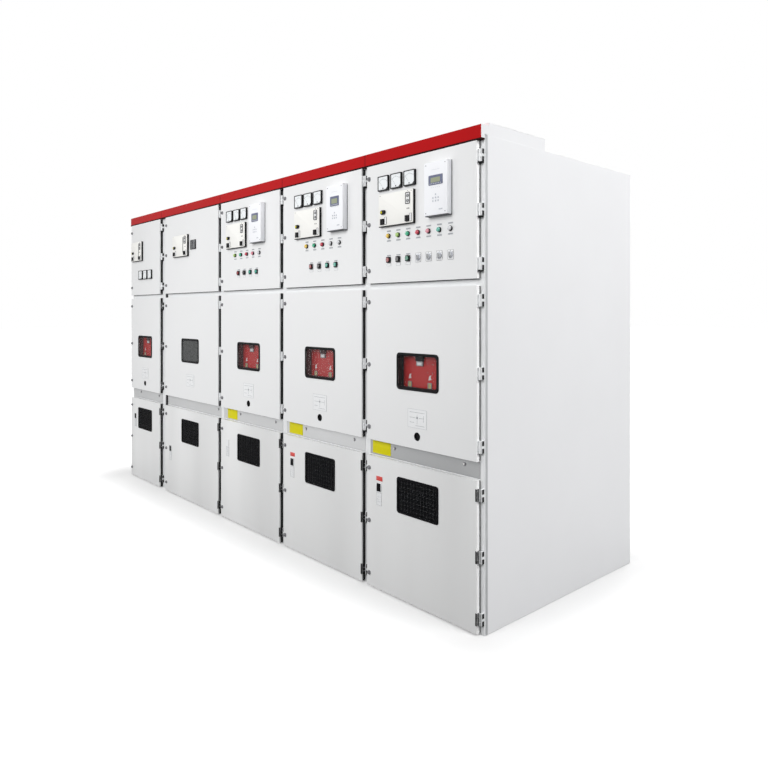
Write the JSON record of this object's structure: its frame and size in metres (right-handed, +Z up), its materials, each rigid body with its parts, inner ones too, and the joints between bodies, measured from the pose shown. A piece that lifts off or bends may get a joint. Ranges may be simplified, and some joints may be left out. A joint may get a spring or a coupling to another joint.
{
  "type": "metal-enclosed switchgear",
  "caption": "Row of floor-standing metal-enclosed switchgear cubicles with hinged doors, withdrawable breaker trucks, shutters, earthing switches and a red top fascia",
  "frame": {"origin": "centre of the base footprint at floor level, which is the centre of the row's four outermost foundation bolts", "axes": "+X along the row to the right as seen from the doors, -Y out of the doors, +Z up"},
  "size_m": [4.056, 1.363, 2.3],
  "materials": {
    "galvanised": "galvanised sheet steel, fine spangle",
    "frame_paint": "light grey satin powder coat",
    "door_paint": "light grey satin powder coat, fine texture",
    "cover_paint": "near-white satin powder coat",
    "fascia_red": "glossy signal red paint over a dark lip",
    "hinge_zinc": "dark zinc die casting",
    "resin": "red-brown cast epoxy resin",
    "copper": "bare copper bar, slightly dulled",
    "ct_resin": "brown cast epoxy resin",
    "glass": "clear toughened glass",
    "device_case": "light plastic instrument cases with black bezels",
    "truck": "red painted face on a galvanised carriage",
    "poles": "brown resin poles with silver-plated contacts",
    "button_red": "red moulded cap",
    "button_black": "black moulded cap",
    "button_green": "green moulded cap",
    "knob": "grey moulded knob"
  },
  "bodies": {
    "cubicles": {"cubicle_frames": "galvanised", "base_frames": "galvanised", "cubicle_sheets": "galvanised", "end_covers": "cover_paint", "rear_covers": "cover_paint", "roof_plates": "frame_paint", "relief_flaps": "frame_paint", "control_bus_duct": "cover_paint", "fascia_strips": "fascia_red", "guide_rails": "galvanised", "insulators": "resin", "busbars": "copper", "current_transformers": "ct_resin", "voltage_transformers": "ct_resin", "hinge_blocks": "hinge_zinc"},
    "instrument_door_1": {"instrument_door_1": "door_paint", "door_devices_1": "device_case"},
    "breaker_door_1": {"breaker_door_1": "door_paint", "window_pane_1": "glass"},
    "cable_door_1": {"cable_door_1": "door_paint"},
    "instrument_door_2": {"instrument_door_2": "door_paint", "door_devices_2": "device_case"},
    "breaker_door_2": {"breaker_door_2": "door_paint", "window_pane_2": "glass"},
    "cable_door_2": {"cable_door_2": "door_paint"},
    "instrument_door_3": {"instrument_door_3": "door_paint", "door_devices_3": "device_case"},
    "breaker_door_3": {"breaker_door_3": "door_paint", "window_pane_3": "glass"},
    "cable_door_3": {"cable_door_3": "door_paint"},
    "instrument_door_4": {"instrument_door_4": "door_paint", "door_devices_4": "device_case"},
    "breaker_door_4": {"breaker_door_4": "door_paint", "window_pane_4": "glass"},
    "cable_door_4": {"cable_door_4": "door_paint"},
    "instrument_door_5": {"instrument_door_5": "door_paint", "door_devices_5": "device_case"},
    "breaker_door_5": {"breaker_door_5": "door_paint", "window_pane_5": "glass"},
    "cable_door_5": {"cable_door_5": "door_paint"},
    "truck_1": {"breaker_truck_1": "truck"},
    "shutters_1": {"shutters_1": "galvanised"},
    "earthing_switch_1": {"earthing_switch_1": "copper"},
    "truck_3": {"breaker_truck_3": "truck"},
    "shutters_3": {"shutters_3": "galvanised"},
    "earthing_switch_3": {"earthing_switch_3": "copper"},
    "truck_4": {"breaker_truck_4": "truck"},
    "shutters_4": {"shutters_4": "galvanised"},
    "earthing_switch_4": {"earthing_switch_4": "copper"},
    "truck_5": {"truck_carriage_5": "truck", "breaker_poles_5": "poles"},
    "shutters_5": {"shutters_5": "galvanised"},
    "earthing_switch_5": {"earthing_switch_5": "copper"},
    "red_button": {"red_button": "button_red"},
    "black_button": {"black_button": "button_black"},
    "green_button": {"green_button": "button_green"},
    "selector_1": {"selector_1": "knob"},
    "selector_2": {"selector_2": "knob"},
    "selector_3": {"selector_3": "knob"},
    "selector_4": {"selector_4": "knob"}
  },
  "joints": [
    {"name": "instrument_door_1_hinge", "type": "hinge", "parent": "cubicles", "child": "instrument_door_1", "pos_m": [-1.389, -0.6635, 1.906], "axis": [0, 0, 1], "range_deg": [0, 110]},
    {"name": "breaker_door_1_hinge", "type": "hinge", "parent": "cubicles", "child": "breaker_door_1", "pos_m": [-1.389, -0.6635, 1.172], "axis": [0, 0, 1], "range_deg": [0, 110]},
    {"name": "cable_door_1_hinge", "type": "hinge", "parent": "cubicles", "child": "cable_door_1", "pos_m": [-1.389, -0.6635, 0.351], "axis": [0, 0, 1], "range_deg": [0, 110]},
    {"name": "instrument_door_2_hinge", "type": "hinge", "parent": "cubicles", "child": "instrument_door_2", "pos_m": [-0.389, -0.6635, 1.906], "axis": [0, 0, 1], "range_deg": [0, 110]},
    {"name": "breaker_door_2_hinge", "type": "hinge", "parent": "cubicles", "child": "breaker_door_2", "pos_m": [-0.389, -0.6635, 1.172], "axis": [0, 0, 1], "range_deg": [0, 110]},
    {"name": "cable_door_2_hinge", "type": "hinge", "parent": "cubicles", "child": "cable_door_2", "pos_m": [-0.389, -0.6635, 0.351], "axis": [0, 0, 1], "range_deg": [0, 110]},
    {"name": "instrument_door_3_hinge", "type": "hinge", "parent": "cubicles", "child": "instrument_door_3", "pos_m": [0.411, -0.6635, 1.906], "axis": [0, 0, 1], "range_deg": [0, 110]},
    {"name": "breaker_door_3_hinge", "type": "hinge", "parent": "cubicles", "child": "breaker_door_3", "pos_m": [0.411, -0.6635, 1.172], "axis": [0, 0, 1], "range_deg": [0, 110]},
    {"name": "cable_door_3_hinge", "type": "hinge", "parent": "cubicles", "child": "cable_door_3", "pos_m": [0.411, -0.6635, 0.351], "axis": [0, 0, 1], "range_deg": [0, 110]},
    {"name": "instrument_door_4_hinge", "type": "hinge", "parent": "cubicles", "child": "instrument_door_4", "pos_m": [1.211, -0.6635, 1.906], "axis": [0, 0, 1], "range_deg": [0, 110]},
    {"name": "breaker_door_4_hinge", "type": "hinge", "parent": "cubicles", "child": "breaker_door_4", "pos_m": [1.211, -0.6635, 1.172], "axis": [0, 0, 1], "range_deg": [0, 110]},
    {"name": "cable_door_4_hinge", "type": "hinge", "parent": "cubicles", "child": "cable_door_4", "pos_m": [1.211, -0.6635, 0.351], "axis": [0, 0, 1], "range_deg": [0, 110]},
    {"name": "instrument_door_5_hinge", "type": "hinge", "parent": "cubicles", "child": "instrument_door_5", "pos_m": [2.011, -0.6635, 1.906], "axis": [0, 0, 1], "range_deg": [0, 110]},
    {"name": "breaker_door_5_hinge", "type": "hinge", "parent": "cubicles", "child": "breaker_door_5", "pos_m": [2.011, -0.6635, 1.172], "axis": [0, 0, 1], "range_deg": [0, 110]},
    {"name": "cable_door_5_hinge", "type": "hinge", "parent": "cubicles", "child": "cable_door_5", "pos_m": [2.011, -0.6635, 0.351], "axis": [0, 0, 1], "range_deg": [0, 110]},
    {"name": "truck_1_travel", "type": "slide", "parent": "cubicles", "child": "truck_1", "axis": [0, 1, 0], "range_m": [0, 0.2]},
    {"name": "shutters_1_lift", "type": "slide", "parent": "cubicles", "child": "shutters_1", "axis": [0, 0, 1], "range_m": [0, 0.16]},
    {"name": "earthing_switch_1_shaft", "type": "hinge", "parent": "cubicles", "child": "earthing_switch_1", "pos_m": [-1.7, 0.31, 0.537], "axis": [1, 0, 0], "range_deg": [0, 76]},
    {"name": "truck_3_travel", "type": "slide", "parent": "cubicles", "child": "truck_3", "axis": [0, 1, 0], "range_m": [0, 0.2]},
    {"name": "shutters_3_lift", "type": "slide", "parent": "cubicles", "child": "shutters_3", "axis": [0, 0, 1], "range_m": [0, 0.16]},
    {"name": "earthing_switch_3_shaft", "type": "hinge", "parent": "cubicles", "child": "earthing_switch_3", "pos_m": [0.025, 0.31, 0.537], "axis": [1, 0, 0], "range_deg": [0, 76]},
    {"name": "truck_4_travel", "type": "slide", "parent": "cubicles", "child": "truck_4", "axis": [0, 1, 0], "range_m": [0, 0.2]},
    {"name": "shutters_4_lift", "type": "slide", "parent": "cubicles", "child": "shutters_4", "axis": [0, 0, 1], "range_m": [0, 0.16]},
    {"name": "earthing_switch_4_shaft", "type": "hinge", "parent": "cubicles", "child": "earthing_switch_4", "pos_m": [0.825, 0.31, 0.537], "axis": [1, 0, 0], "range_deg": [0, 76]},
    {"name": "truck_5_travel", "type": "slide", "parent": "cubicles", "child": "truck_5", "axis": [0, 1, 0], "range_m": [0, 0.2]},
    {"name": "shutters_5_lift", "type": "slide", "parent": "cubicles", "child": "shutters_5", "axis": [0, 0, 1], "range_m": [0, 0.16]},
    {"name": "earthing_switch_5_shaft", "type": "hinge", "parent": "cubicles", "child": "earthing_switch_5", "pos_m": [1.625, 0.31, 0.537], "axis": [1, 0, 0], "range_deg": [0, 76]},
    {"name": "red_button_press", "type": "slide", "parent": "instrument_door_5", "child": "red_button", "axis": [0, 1, 0], "range_m": [0, 0.004], "stiffness_N_per_m": 400},
    {"name": "black_button_press", "type": "slide", "parent": "instrument_door_5", "child": "black_button", "axis": [0, 1, 0], "range_m": [0, 0.004], "stiffness_N_per_m": 400},
    {"name": "green_button_press", "type": "slide", "parent": "instrument_door_5", "child": "green_button", "axis": [0, 1, 0], "range_m": [0, 0.004], "stiffness_N_per_m": 400},
    {"name": "selector_1_turn", "type": "hinge", "parent": "instrument_door_5", "child": "selector_1", "pos_m": [1.633, -0.686, 1.714], "axis": [0, -1, 0], "range_deg": [-45, 45]},
    {"name": "selector_2_turn", "type": "hinge", "parent": "instrument_door_5", "child": "selector_2", "pos_m": [1.704, -0.686, 1.714], "axis": [0, -1, 0], "range_deg": [-45, 45]},
    {"name": "selector_3_turn", "type": "hinge", "parent": "instrument_door_5", "child": "selector_3", "pos_m": [1.775, -0.686, 1.714], "axis": [0, -1, 0], "range_deg": [-45, 45]},
    {"name": "selector_4_turn", "type": "hinge", "parent": "instrument_door_5", "child": "selector_4", "pos_m": [1.846, -0.686, 1.714], "axis": [0, -1, 0], "range_deg": [-45, 45]}
  ],
  "couplings": [
    {"joint": "shutters_1_lift", "follows": "truck_1_travel", "ratio": 0.8},
    {"joint": "shutters_3_lift", "follows": "truck_3_travel", "ratio": 0.8},
    {"joint": "shutters_4_lift", "follows": "truck_4_travel", "ratio": 0.8},
    {"joint": "shutters_5_lift", "follows": "truck_5_travel", "ratio": 0.8}
  ]
}
